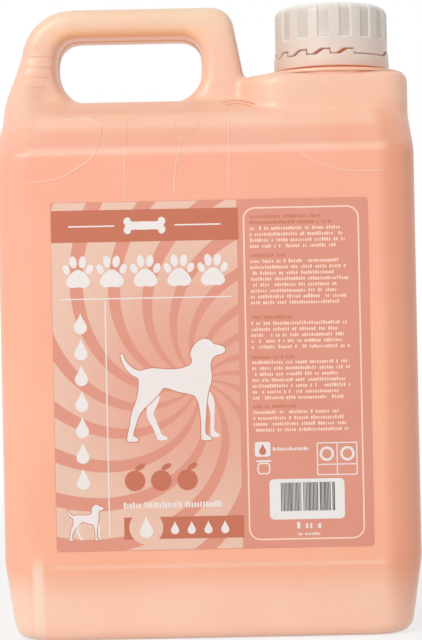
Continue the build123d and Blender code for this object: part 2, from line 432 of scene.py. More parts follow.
# Darker copies of the plastic's colours for the crescent creases: painted shade in the creases.
PEACH_SHADE = PeachPlastic(
    "peach_crease_shade", rgb(226, 138, 108), rgb(226, 138, 112), rgb(226, 142, 114), rgb(226, 150, 120)
)
CAP_WHITE = CapPlastic("cap_plastic_white")
FOAM = LinerFoam("liner_foam_white")
FILM = LabelFilm("label_film_salmon")


class Ink(Enum):
    """The label's printing inks."""

    RAY = Print("ink_ray", rgb(226, 163, 143), rgb(230, 193, 173), (-3.8, 93.6), (12.0, 62.0))
    BAND = Print("ink_band", rgb(194, 110, 82))
    WHITE = Print("ink_white", rgb(234, 227, 225))
    PALE = Print("ink_pale", rgb(250, 212, 194))
    SHADE = Print("ink_shade", rgb(200, 118, 93))
    DARK = Print("ink_dark", rgb(66, 56, 53))
    PLATE = Print("ink_plate", rgb(233, 231, 229))


# --- Meshes ------------------------------------------------------------------------------------------
def rounded(
    corners: Sequence[Sequence[float]], radii: Sequence[float], closed: bool = True, steps: int = 6
) -> list[Vector]:
    """A path of straight runs with rounded corners, in any number of dimensions.

    Args:
        corners: The path's corners.
        radii: One radius for each corner; 0 keeps it sharp.
        closed: Whether the last corner joins the first.
        steps: Divisions of each rounded corner.

    Returns:
        The path's points.
    """
    points = [Vector(corner) for corner in corners]
    path = []
    for index, (point, radius) in enumerate(zip(points, radii)):
        ends = not closed and index in (0, len(points) - 1)
        if ends or not radius:
            path.append(point)
            continue
        before = (point - points[index - 1]).normalized()
        after = (points[(index + 1) % len(points)] - point).normalized()
        turn = before.angle(after)
        side = (after - before * math.cos(turn)).normalized()
        middle = point - before * radius * math.tan(turn / 2) + side * radius
        for step in range(steps + 1):
            angle = turn * step / steps
            path.append(middle + radius * (before * math.sin(angle) - side * math.cos(angle)))
    return path


def rounded_box(half_x: float, half_y: float, radius: float, steps: int = 8) -> list[Vector]:
    """A rounded rectangle about the origin, anticlockwise."""
    corners = [(half_x, -half_y), (half_x, half_y), (-half_x, half_y), (-half_x, -half_y)]
    return rounded(corners, [radius] * 4, steps=steps)


def baked(name: str, work: bmesh.types.BMesh) -> bpy.types.Mesh:
    """The mesh of a finished bmesh, which is freed."""
    mesh = bpy.data.meshes.new(name)
    work.to_mesh(mesh)
    work.free()
    return mesh


def everything(work: bmesh.types.BMesh) -> list[object]:
    """All vertices, edges and faces of a bmesh."""
    return work.verts[:] + work.edges[:] + work.faces[:]


def to_mesh(name: str, build: Callable[[bmesh.types.BMesh], None]) -> bpy.types.Mesh:
    """A mesh that build fills in millimetres, with its faces turned outwards."""
    work = bmesh.new()
    build(work)
    bmesh.ops.remove_doubles(work, verts=work.verts, dist=1e-5)
    bmesh.ops.recalc_face_normals(work, faces=work.faces)
    bmesh.ops.scale(work, vec=(MM, MM, MM), verts=work.verts)
    return baked(name, work)


def stack(name: str, rings: Sequence[Sequence[Sequence[float]]]) -> bpy.types.Mesh:
    """A closed skin over rings of as many points each, with flat ends, or none if it ends as it starts.

    Args:
        name: The mesh's name.
        rings: The rings, in order, in millimetres. A ring of one point closes that end.

    Returns:
        The mesh, in metres.
    """
    endless = list(rings[0]) == list(rings[-1])
    open_rings = rings[:-1] if endless else rings

    def build(work: bmesh.types.BMesh) -> None:
        """Joins each ring to the next."""
        loops = [[work.verts.new(point) for point in ring] for ring in open_rings]
        if endless:
            loops.append(loops[0])
        for lower, upper in zip(loops, loops[1:]):
            count = max(len(lower), len(upper))
            for place in range(count):
                onward = (place + 1) % count
                if len(lower) == 1:
                    work.faces.new((lower[0], upper[onward], upper[place]))
                elif len(upper) == 1:
                    work.faces.new((lower[place], lower[onward], upper[0]))
                else:
                    work.faces.new((lower[place], lower[onward], upper[onward], upper[place]))
        for loop in () if endless else (loops[0], loops[-1]):
            if len(loop) > 1:
                work.faces.new(loop)

    return to_mesh(name, build)


def add_object(name: str, data: bpy.types.ID) -> bpy.types.Object:
    """A new object in the scene, at the origin."""
    made = bpy.data.objects.new(name, data)
    bpy.context.scene.collection.objects.link(made)
    return made


def paint(piece: bpy.types.Object, finish: Finish) -> None:
    """Gives a piece one finish."""
    piece.data.materials.clear()
    piece.data.materials.append(finish.material())


def put(name: str, mesh: bpy.types.Mesh, finish: Finish | None = None) -> bpy.types.Object:
    """An object of a mesh, with one finish if it is given."""
    piece = add_object(name, mesh)
    if finish:
        paint(piece, finish)
    return piece


def settle(piece: bpy.types.Object) -> bpy.types.Object:
    """Makes a piece's modifiers part of its mesh."""
    bpy.context.view_layer.update()
    shape = piece.evaluated_get(bpy.context.evaluated_depsgraph_get())
    mesh = bpy.data.meshes.new_from_object(shape)
    piece.modifiers.clear()
    piece.data = mesh
    return piece


def modify(piece: bpy.types.Object, kind: str, **settings: object) -> None:
    """Adds one modifier with its settings."""
    modifier = piece.modifiers.new(kind.lower(), kind)
    for name, value in settings.items():
        setattr(modifier, name, value)


def cut(piece: bpy.types.Object, tool: bpy.types.Object, operation: str) -> None:
    """Joins a tool to a piece, or cuts it away, and removes the tool."""
    modify(piece, "BOOLEAN", operation=operation, object=tool, solver="MANIFOLD")
    settle(piece)
    bpy.data.objects.remove(tool)


def join(name: str, pieces: Sequence[bpy.types.Object]) -> bpy.types.Object:
    """One object with the meshes of several, which are removed."""
    work = bmesh.new()
    for piece in pieces:
        work.from_mesh(piece.data)
    mesh = baked(name, work)
    for piece in pieces:
        bpy.data.objects.remove(piece)
    return put(name, mesh)


def shade(piece: bpy.types.Object, angle: float = 35.0) -> bpy.types.Object:
    """Smooth shading with edges sharper than angle degrees kept."""
    for face in piece.data.polygons:
        face.use_smooth = True
    piece.data.set_sharp_from_angle(angle=math.radians(angle))
    return piece


def dress(piece: bpy.types.Object, body: str, slot: str, *nodes: str) -> None:
    """Ties a finished piece to its body and hides the nodes that it stands for."""
    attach(piece, body)
    if nodes:
        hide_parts(*nodes)
    log.info("%s: %d faces, rides on %s", piece.name, len(piece.data.polygons), body)


def plate(
    name: str, outlines: Sequence[Sequence[Vector]], half: float, bevel: float = 0.0, offset: float = 0.0
) -> bpy.types.Mesh:
    """A flat plate about the XY plane, in metres; an outline inside another is a hole.

    Args:
        name: The mesh's name.
        outlines: Closed outlines, in millimetres.
        half: Half the thickness between the bevels.
        bevel: The radius of the rounded edges, which lie outside half.
        offset: How far the outlines are grown before they are bevelled.

    Returns:
        The closed mesh.
    """
    curve = bpy.data.curves.new(name, "CURVE")
    curve.dimensions = "2D"
    curve.fill_mode = "BOTH"
    curve.extrude = half
    curve.bevel_depth = bevel
    curve.bevel_resolution = 4
    curve.offset = offset
    for outline in outlines:
        spline = curve.splines.new("POLY")
        spline.points.add(len(outline) - 1)
        for point, (x, y) in zip(spline.points, outline):
            point.co = (x, y, 0.0, 1.0)
        spline.use_cyclic_u = True
    holder = add_object(name, curve)
    bpy.context.view_layer.update()
    shape = holder.evaluated_get(bpy.context.evaluated_depsgraph_get())
    flat = bpy.data.meshes.new_from_object(shape)
    bpy.data.objects.remove(holder)
    return to_mesh(name, lambda work: work.from_mesh(flat))


def lathe(name: str, profile: Sequence[Flat], sides: int) -> bpy.types.Mesh:
    """A turned shape on the neck's axis, from a profile of (radius, height)."""
    rings = []
    for radius, height in profile:
        if radius < 1e-6:
            rings.append([(NECK_X, 0.0, height)])
            continue
        turns = [math.tau * side / sides for side in range(sides)]
        rings.append(
            [(NECK_X + radius * math.cos(t), radius * math.sin(t), height) for t in turns]
        )
    return stack(name, rings)


def flowing(points: Sequence[Flat], closed: bool = False, steps: int = 8) -> list[Vector]:
    """A smooth line through points."""
    ends = [Vector(point) for point in points]
    count = len(ends)
    path = []
    for index in range(count if closed else count - 1):
        if closed:
            a, b, c, d = (ends[(index + shift) % count] for shift in (-1, 0, 1, 2))
        else:
            a, d = ends[max(index - 1, 0)], ends[min(index + 2, count - 1)]
            b, c = ends[index], ends[index + 1]
        for step in range(steps):
            t = step / steps
            path.append(
                0.5 * (2 * b + (c - a) * t + (2 * a - 5 * b + 4 * c - d) * t**2
                       + (3 * b - a - 3 * c + d) * t**3)
            )
    if not closed:
        path.append(ends[-1])
    return path


def laid_line(name: str, points: Sequence[Flat], surface: BVHTree, sink: float) -> bpy.types.Mesh:
    """A line of edges laid on the front of a surface, its middle sink millimetres inside it."""
    places = []
    for x, z in flowing(points):
        hit, normal, _, _ = surface.ray_cast(Vector((x * MM, -0.2, z * MM)), Vector((0, 1, 0)))
        places.append(hit - normal * sink * MM)
    mesh = bpy.data.meshes.new(name)
    mesh.from_pydata(places, [(i, i + 1) for i in range(len(places) - 1)], [])
    return mesh


def smooth(value: float, low: float, high: float) -> float:
    """A smooth step from 0 at low to 1 at high."""
    t = min(1.0, max(0.0, (value - low) / (high - low)))
    return t * t * (3 - 2 * t)


# --- Geometry node trees -----------------------------------------------------------------------------
class Tree(Graph):
    """A geometry node tree with named inputs that makes plain meshes."""

    def __init__(self, name: str, inputs: dict[str, tuple[str, object]]) -> None:
        """Starts a tree.

        Args:
            name: The tree's name.
            inputs: For each named input, its socket type and its value.
        """
        super().__init__(bpy.data.node_groups.new(name, "GeometryNodeTree"))
        face = self.tree.interface
        face.new_socket("Geometry", in_out="INPUT", socket_type="NodeSocketGeometry")
        self.known: dict[str, str] = {}
        for label, (kind, value) in inputs.items():
            socket = face.new_socket(label, in_out="INPUT", socket_type=f"NodeSocket{kind}")
            socket.default_value = value
            self.known[label] = socket.identifier
        face.new_socket("Material", in_out="INPUT", socket_type="NodeSocketMaterial")
        self.known["Material"] = face.items_tree[-1].identifier
        face.new_socket("Geometry", in_out="OUTPUT", socket_type="NodeSocketGeometry")
        self.entry = self.tree.nodes.new("NodeGroupInput")

    def given(self, label: str) -> Wire:
        """A named input."""
        return Wire(self, self.entry.outputs[label])

    def vector(self, **axes: object) -> Wire:
        """A vector from its X, Y and Z."""
        return self.add("ShaderNodeCombineXYZ", inputs=axes)

    def spots(self, count: Wire) -> Wire:
        """As many points, all at the origin."""
        return self.add("GeometryNodeMeshLine", inputs={"Count": count, "Offset": (0.0, 0.0, 0.0)})

    def spread(self, geometry: Wire, position: Wire) -> Wire:
        """Geometry with each point at its own position."""
        return self.add("GeometryNodeSetPosition", inputs={"Geometry": geometry, "Position": position})

    def shifted(self, geometry: Wire, offset: object) -> Wire:
        """Geometry moved as a whole."""
        return self.add("GeometryNodeTransform", inputs={"Geometry": geometry, "Translation": offset})

    def beaded(self, curve: Wire, radius: Wire, sides: int) -> Wire:
        """A round bead along a curve, shaded smooth."""
        circle = self.add(
            "GeometryNodeCurvePrimitiveCircle", inputs={"Resolution": sides, "Radius": radius}
        )
        bead = self.add(
            "GeometryNodeCurveToMesh",
            inputs={"Curve": curve, "Profile Curve": circle, "Fill Caps": True},
        )
        return self.add("GeometryNodeSetShadeSmooth", inputs={"Geometry": bead})

    def close(self, geometry: Wire) -> None:
        """Ends the tree with real geometry in its material."""
        real = self.add("GeometryNodeRealizeInstances", inputs={"Geometry": geometry})
        painted = self.add(
            "GeometryNodeSetMaterial", inputs={"Geometry": real, "Material": self.given("Material")}
        )
        self.add("NodeGroupOutput", inputs={0: painted})

    def make(
        self, name: str, finish: Finish, source: bpy.types.Mesh | None = None, **values: object
    ) -> bpy.types.Object:
        """Runs the tree once.

        Args:
            name: The new piece's name.
            finish: What it is made of.
            source: The mesh that the tree starts from.
            values: The named inputs, with _ for a space.

        Returns:
            The piece, as a plain mesh.
        """
        piece = put(name, source or bpy.data.meshes.new(name))
        modifier = piece.modifiers.new("make", "NODES")
        modifier.node_group = self.tree
        modifier[self.known["Material"]] = finish.material()
        for label, value in values.items():
            modifier[self.known[label.replace("_", " ")]] = value
        return settle(piece)


def bead_tree() -> Tree:
    """A round bead along the edges of the source mesh."""
    tree = Tree("bead_along_line", {"Radius": ("Float", 0.001)})
    line = tree.add("GeometryNodeMeshToCurve", inputs={"Mesh": tree.given("Geometry")})
    tree.close(tree.beaded(line, tree.given("Radius"), 10))
    return tree


def coil_tree() -> Tree:
    """A right-handed screw thread of round section that runs out at both ends, about Centre."""
    tree = Tree(
        "screw_thread",
        {
            "Turns": ("Float", 1.0),
            "Path Radius": ("Float", 0.01),
            "Height": ("Float", 0.01),
            "Bead": ("Float", 0.001),
            "Centre": ("Vector", (0.0, 0.0, 0.0)),
        },
    )
    spiral = tree.add(
        "GeometryNodeCurveSpiral",
        inputs={
            "Resolution": 72,
            "Rotations": tree.given("Turns"),
            "Start Radius": tree.given("Path Radius"),
            "End Radius": tree.given("Path Radius"),
            "Height": tree.given("Height"),
            "Reverse": True,
        },
    )
    along = tree.add("GeometryNodeSplineParameter")
    run_out = along.rise(0.0, 0.06) * (1.0 - along.rise(0.94, 1.0)) * 0.75 + 0.25
    tapered = tree.add("GeometryNodeSetCurveRadius", inputs={"Curve": spiral, "Radius": run_out})
    tree.close(tree.shifted(tree.beaded(tapered, tree.given("Bead"), 14), tree.given("Centre")))
    return tree


@dataclass(frozen=True)
class Thread:
    """A screw thread on the neck's axis, by the radii of its middle line and its section."""

    turns: float
    radius: float
    bead: float
    start: float

    def make(self, name: str, finish: Finish) -> bpy.types.Object:
        """The thread, from the height start up, as a plain mesh."""
        return coil_tree().make(
            name,
            finish,
            Turns=self.turns,
            Path_Radius=self.radius * MM,
            Height=self.turns * THREAD_PITCH * MM,
            Bead=self.bead * MM,
            Centre=(NECK_X * MM, 0.0, self.start * MM),
        )


def stroke_tree() -> Tree:
    """Rows of upright strokes with gaps between words and ragged ends, on the XZ plane."""
    tree = Tree(
        "printed_rows",
        {
            "Rows": ("Int", 4),
            "Columns": ("Int", 30),
            "Corner": ("Vector", (0.0, 0.0, 0.0)),
            "Column Pitch": ("Float", 0.001),
            "Row Pitch": ("Float", 0.002),
            "Narrow": ("Float", 0.0003),
            "Wide": ("Float", 0.0006),
            "Low": ("Float", 0.0008),
            "High": ("Float", 0.0012),
            "Gaps": ("Float", 0.16),
            "Ragged": ("Float", 6.0),
            "Thickness": ("Float", 0.00005),
            "Seed": ("Int", 1),
        },
    )
    columns = tree.given("Columns")
    points = tree.spots(columns * tree.given("Rows"))
    index = tree.add("GeometryNodeInputIndex")
    row = (index / columns).math("FLOOR")
    column = index - row * columns
    seed = tree.given("Seed")

    def chance(low: object, high: object, ident: Wire, shift: int) -> Wire:
        """A random value between low and high, the same for the same ident."""
        return tree.add(
            "FunctionNodeRandomValue",
            {"data_type": "FLOAT"},
            {2: low, 3: high, "ID": ident, "Seed": seed + shift},
            1,
        )

    short = chance(0.0, tree.given("Ragged"), row, 1)
    space = chance(0.0, 1.0, index, 2).math("LESS_THAN", tree.given("Gaps"))
    beyond = (column + short).math("GREATER_THAN", columns - 1)
    position = tree.vector(
        X=column * tree.given("Column Pitch"), Z=row * tree.given("Row Pitch") * -1.0
    )
    dropped = (space + beyond).math("GREATER_THAN", 0.5)
    kept = tree.add(
        "GeometryNodeDeleteGeometry",
        {"domain": "POINT"},
        {"Geometry": tree.spread(points, position), "Selection": dropped},
    )
    low = tree.given("Low")
    size = tree.vector(
        X=chance(tree.given("Narrow"), tree.given("Wide"), index, 3),
        Y=tree.given("Thickness"),
        Z=low + (tree.given("High") - low) * chance(0.0, 1.0, index, 4).math("POWER", 2.5),
    )
    cube = tree.add("GeometryNodeMeshCube", inputs={"Size": (1.0, 1.0, 1.0)})
    stroke = tree.shifted(cube, (0.0, 0.0, 0.5))
    strokes = tree.add(
        "GeometryNodeInstanceOnPoints", inputs={"Points": kept, "Instance": stroke, "Scale": size}
    )
    tree.close(tree.shifted(strokes, tree.given("Corner")))
    return tree


def ray_tree() -> Tree:
    """A ring of curved rays, flat on the XY plane, that lean back evenly as they go out."""
    tree = Tree(
        "curved_rays",
        {
            "Count": ("Int", 16),
            "Width": ("Float", 0.26),
            "Start": ("Float", 0.0),
            "Twist": ("Float", -20.0),
            "Inner": ("Float", 0.004),
            "Outer": ("Float", 0.09),
        },
    )
    sheet = tree.add(
        "GeometryNodeMeshGrid",
        inputs={"Size X": 1.0, "Size Y": 1.0, "Vertices X": 3, "Vertices Y": 44},
    )
    place = tree.add("GeometryNodeInputPosition")
    across = tree.add("ShaderNodeSeparateXYZ", inputs={0: place}, output="X")
    out = tree.add("ShaderNodeSeparateXYZ", inputs={0: place}, output="Y") + 0.5
    inner = tree.given("Inner")
    radius = inner + out * (tree.given("Outer") - inner)
    angle = tree.given("Start") + across * tree.given("Width") + radius * tree.given("Twist")
    bent = tree.vector(X=radius * angle.math("COSINE"), Y=radius * angle.math("SINE"))
    ray = tree.spread(sheet, bent)
    count = tree.given("Count")
    turn = tree.vector(Z=tree.add("GeometryNodeInputIndex") * math.tau / count)
    tree.close(
        tree.add(
            "GeometryNodeInstanceOnPoints",
            inputs={"Points": tree.spots(count), "Instance": ray, "Rotation": turn},
        )
    )
    return tree


# --- The bottle --------------------------------------------------------------------------------------
@dataclass
class BottleShell:
    """The blown bottle: body, hollow handle, raised block under the neck, and neck."""

    half_width: float = 76.0
    half_depth: float = 48.0
    wall: float = 1.3
    corner_radius: float = 12.0
    base_draw: Flat = (3.5, 5.0)
    base_radius: float = 7.0
    taper_height: float = 28.0
    panel_top: float = 177.0
    shoulder: Flat = (27.0, 192.7)
    crown: Flat = (14.5, 198.2)
    rim_width: float = 13.0
    recess: float = 1.6
    handle_half_depth: float = 14.0
    handle_edge: float = 4.6
    block_top: float = 206.8
    block_edge: float = 3.4
    block_left: float = 13.0
    block_corners: Flat = (18.0, 9.0)
    handle_top: float = 233.8
    grip: tuple[float, float, float, float] = (-55.75, 198.2, -0.55, 223.0)
    heel: tuple[Solid, ...] = ((76.0, 26.0, 187.7), (75.5, 20.0, 198.2), (70.1, 13.0, 214.0))
    heel_half: float = 6.5
    heel_corner: float = 6.0
    heel_blend: Solid = (-48.0, 187.0, 219.0)
    heel_passes: float = 90.0
    marks: tuple[tuple[Flat, ...], ...] = (
        ((-55.9, 190), (-44, 190.6), (-38.6, 187.6), (-38.4, 181), (-40.6, 175), (-44.7, 171.6),
         (-52.8, 167.4), (-63.6, 165.8)),
        ((-28.5, 190.4), (-28.9, 175), (-29.1, 159.7)),
        ((-11.9, 190), (-10.9, 184.6), (-7.7, 181.2), (-4.4, 183.8), (-1.8, 189.9)),
        ((-8.6, 181), (-10.8, 170), (-11.4, 159.8)),
        ((8.7, 189.7), (8.5, 176), (8.2, 162.6)),
        ((30, 190.3), (30.3, 184.5), (31.8, 179), (36.2, 173.6), (44.8, 169.4), (54, 168),
         (63.9, 168)),
    )
    crescent: tuple[tuple[Flat, ...], ...] = (
        ((6.5, 197.0), (12.5, 197.7), (18.8, 195.4)),
        ((8.2, 195.6), (12.5, 196.3), (17.4, 194.6)),
    )
    neck_radius: float = 17.6
    mouth_radius: float = 15.0
    rim_top: float = 230.4
    thread: Thread = Thread(1.6, 17.7, 1.05, 220.68)
    outer_skin: tuple[float, int, int] = (1.05, 5, 100000)
    inner_skin: tuple[float, int, int] = (1.9, 4, 30000)
    seam_radius: float = 0.32
    seam_gap: float = 25.0
    ribs: int = 4
    rib_start: Flat = (-69.5, 204.6)
    rib_step: Flat = (1.0, 3.93)
    rib_length: float = 9.5
    rib_sink: float = 0.82
    rib_radius: float = 1.1

    def body_rings(self, inset: float) -> list[list[Solid]]:
        """Rings of the body from the base's push-up to the crown, drawn in by inset."""
        draw_x, draw_y = self.base_draw
        push = self.rim_width - inset
        profile = rounded(
            [
                (self.half_width - push - 1.3, self.half_depth - push - 1.3, self.recess + inset),
                (self.half_width - push, self.half_depth - push, inset),
                (self.half_width - draw_x - inset, self.half_depth - draw_y - inset, inset),
                (self.half_width - inset, self.half_depth - inset, self.taper_height),
                (self.half_width - inset, self.half_depth - inset, self.panel_top - 0.6 * inset),
                (self.half_width - inset, self.shoulder[0] - 0.8 * inset, self.shoulder[1] - inset),
                (self.half_width - 1 - inset, self.crown[0] - 0.8 * inset, self.crown[1] - inset),
            ],
            [0, 0, self.base_radius - inset, 16, 2.4, 3, 0],
            closed=False,
        )
        corner = self.corner_radius - inset
        return [
            [(x, y, height) for x, y in rounded_box(half_x, half_y, min(corner, half_y - 0.5))]
            for half_x, half_y, height in profile
        ]

    def handle(self, inset: float) -> bpy.types.Object:
        """The handle with its hand hole, drawn in by inset."""
        foot = (self.panel_top + self.shoulder[1]) / 2
        outline = rounded(
            [
                (-72.5, foot),
                (-75.0, self.crown[1]),
                (-63.8, self.handle_top),
                (10.2, self.handle_top),
                (15.2, self.block_top),
                (21.2, foot),
            ],
            [0, 30, 19, 8.5, 6, 0],
        )
        left, low, right, high = self.grip
        grip = rounded([(left, low), (right, low), (right, high), (left, high)], [12, 12, 8, 8])
        edge = self.handle_edge - inset
        mesh = plate(
            "handle", [outline, grip[::-1]], self.handle_half_depth - self.handle_edge, edge,
            -edge - inset,
        )
        mesh.transform(UPRIGHT)
        return put("handle", mesh)

    def flare(self, inset: float) -> bpy.types.Object:
        """The flare from the body's end up into the handle's outer post, drawn in by inset."""
        rings = []
        for reach, half_depth, height in self.heel:
            half = self.heel_half
            outline = rounded_box(half - inset, half_depth - inset, self.heel_corner - inset)
            rings.append([(x - reach + half, y, height) for x, y in outline])
        return put("flare", stack("flare", rings))

    def block(self, inset: float) -> bpy.types.Object:
        """The raised block under the neck, drawn in by inset."""
        half, left, right = self.shoulder[0], self.block_left, self.half_width
        inner, outer = self.block_corners
        edge = self.block_edge - inset
        foot = (self.panel_top + self.shoulder[1]) / 2
        top = self.block_top - inset
        levels = [(0.0, foot), (0.0, top - edge)]
        for step in range(1, 7):
            angle = math.pi / 12 * step
            levels.append((edge * (1 - math.cos(angle)), top - edge + edge * math.sin(angle)))
        rings = []
        for draw, height in levels:
            off = inset + draw
            corners = [
                (left + off, -half + off),
                (right - off, -half + off),
                (right - off, half - off),
                (left + off, half - off),
            ]
            outline = rounded(corners, [inner - off, outer - off, outer - off, inner - off])
            rings.append([(x, y, height) for x, y in outline])
        return put("block", stack("block", rings))

    def form(self, inset: float, grid: float, soften: int, faces: int) -> bpy.types.Object:
        """The whole moulded form as one soft skin, blended most at the handle's heel.

        Args:
            inset: How far inside the outer surface it lies.
            grid: The size of the skin's faces before it is thinned.
            soften: How many times its corners are softened.
            faces: How many triangles are kept.

        Returns:
            The form, closed.
        """
        body = put("body", stack("body", self.body_rings(inset)))
        form = join("form", [body, self.handle(inset), self.flare(inset), self.block(inset)])
        modify(form, "REMESH", mode="VOXEL", voxel_size=grid * MM)
        modify(form, "SMOOTH", factor=0.5, iterations=soften)
        settle(form)
        group = form.vertex_groups.new(name="heel")
        x_end, low, high = self.heel_blend
        near = [
            vertex.index for vertex in form.data.vertices
            if vertex.co.x < x_end * MM and low * MM < vertex.co.z < high * MM
        ]
        group.add(near, 1.0, "REPLACE")
        passes = round(self.heel_passes / grid**2)
        modify(form, "SMOOTH", factor=0.5, iterations=passes, vertex_group="heel")
        triangles = 2 * len(form.data.polygons)
        modify(form, "DECIMATE", ratio=min(1.0, faces / triangles))
        return settle(form)

    def neck(self) -> bpy.types.Object:
        """The neck with its seat, its retaining bead and its rim."""
        seat = self.block_top + 2.2
        bead = seat + 3.0
        profile = rounded(
            [
                (self.block_top - 2.6, 0.0),
                (self.block_top - 2.6, 26.3),
                (self.block_top + 0.05, 26.3),
                (self.block_top + 0.2, 27.4),
                (self.block_top + 1.3, 27.4),
                (seat, 20.9),
                (seat, self.neck_radius),
                (bead, self.neck_radius),
                (bead, 19.5),
                (bead + 0.8, 19.5),
                (bead + 1.6, self.neck_radius),
                (self.rim_top, self.neck_radius),
                (self.rim_top, 0.0),
            ],
            [0, 0, 0, 0.1, 0.45, 0.3, 0.4, 0.3, 0.25, 0.3, 0.4, 0.7, 0],
            closed=False,
            steps=3,
        )
        return put("neck", lathe("neck", [(radius, z) for z, radius in profile], 128))

    def build(self) -> None:
        """Makes the shell and what is moulded on it, and dresses them."""
        shell = self.form(0.0, *self.outer_skin)
        surface = BVHTree.FromPolygons(
            [vertex.co for vertex in shell.data.vertices],
            [face.vertices for face in shell.data.polygons],
        )
        seam = self.seam(shell)
        cut(shell, self.neck(), "UNION")
        cut(shell, self.form(self.wall, *self.inner_skin), "DIFFERENCE")
        bore = [(0.0, self.block_top - 4), (self.mouth_radius, self.block_top - 4)]
        bore += [(self.mouth_radius, self.rim_top + 3), (0.0, self.rim_top + 3)]
        cut(shell, put("bore", lathe("bore", bore, 96)), "DIFFERENCE")
        shell.name = "bottle_shell"
        paint(shell, PEACH)
        dress(shade(shell, 38), "bottle", "bottle_hdpe", "bottle")

        bead = bead_tree()
        # The parting line is paler than the body: a painted highlight on its ridge.
        line = bead.make("parting_line", PEACH_HIGHLIGHT, seam, Radius=self.seam_radius * MM)
        dress(line, "bottle", "bottle_hdpe")
        self.mould_marks(bead, surface)
        self.grip_ribs(bead, surface)
        dress(self.thread.make("neck_thread", PEACH), "bottle", "bottle_hdpe")

    def seam(self, shell: bpy.types.Object) -> bpy.types.Mesh:
        """The line where the two halves of the mould met, round the outline and the hand hole."""
        work = bmesh.new()
        work.from_mesh(shell.data)
        found = bmesh.ops.bisect_plane(
            work, geom=everything(work), plane_co=(0, 0, 0), plane_no=(0, 1, 0)
        )
        edges = [item for item in found["geom_cut"] if isinstance(item, bmesh.types.BMEdge)]
        low = 0.5 * self.taper_height * MM
        neck = (NECK_X - self.seam_gap) * MM
        line = bmesh.new()
        made: dict[bmesh.types.BMVert, bmesh.types.BMVert] = {}
        for edge in edges:
            middle = (edge.verts[0].co + edge.verts[1].co) / 2
            under_neck = middle.x > neck and middle.z > (self.block_top - 1) * MM
            if middle.z < low or under_neck or edge.calc_length() < 1e-6:
                continue
            for vertex in edge.verts:
                if vertex not in made:
                    made[vertex] = line.verts.new(vertex.co)
            line.edges.new([made[vertex] for vertex in edge.verts])
        work.free()
        return baked("seam", line)

    def mould_marks(self, bead: Tree, surface: BVHTree) -> None:
        """Bubble outlines in shallow relief on the shoulder, paler as painted highlights, and a crescent
        by the handle's foot, darker as painted shade.
        """
        for group, lines, finish, sink, radius in (
            ("shoulder_mark", self.marks, PEACH_HIGHLIGHT, 0.25, 0.45),
            ("heel_crescent", self.crescent, PEACH_SHADE, 0.36, 0.50),
        ):
            for number, points in enumerate(lines, 1):
                name = f"{group}_{number}"
                mesh = laid_line(name, points, surface, sink)
                piece = bead.make(name, finish, mesh, Radius=radius * MM)
                dress(piece, "bottle", "bottle_hdpe")

    def grip_ribs(self, bead: Tree, surface: BVHTree) -> None:
        """Short ribs across the handle's outer post, front and back."""
        for side, name in ((1, "grip_ribs_front"), (-1, "grip_ribs_back")):
            ribs = []
            for index in range(self.ribs):
                left = self.rib_start[0] + self.rib_step[0] * index
                level = self.rib_start[1] + self.rib_step[1] * index
                ends = [(left, level), (left + self.rib_length, level)]
                rib = laid_line(f"{name}_{index}", ends, surface, self.rib_sink)
                rib.transform(Matrix.Diagonal((1.0, side, 1.0, 1.0)))
                ribs.append(put(f"{name}_{index}", rib))
            lines = join(name + "_lines", ribs)
            piece = bead.make(name, PEACH, lines.data, Radius=self.rib_radius * MM)
            bpy.data.objects.remove(lines)
            dress(piece, "bottle", "bottle_hdpe")


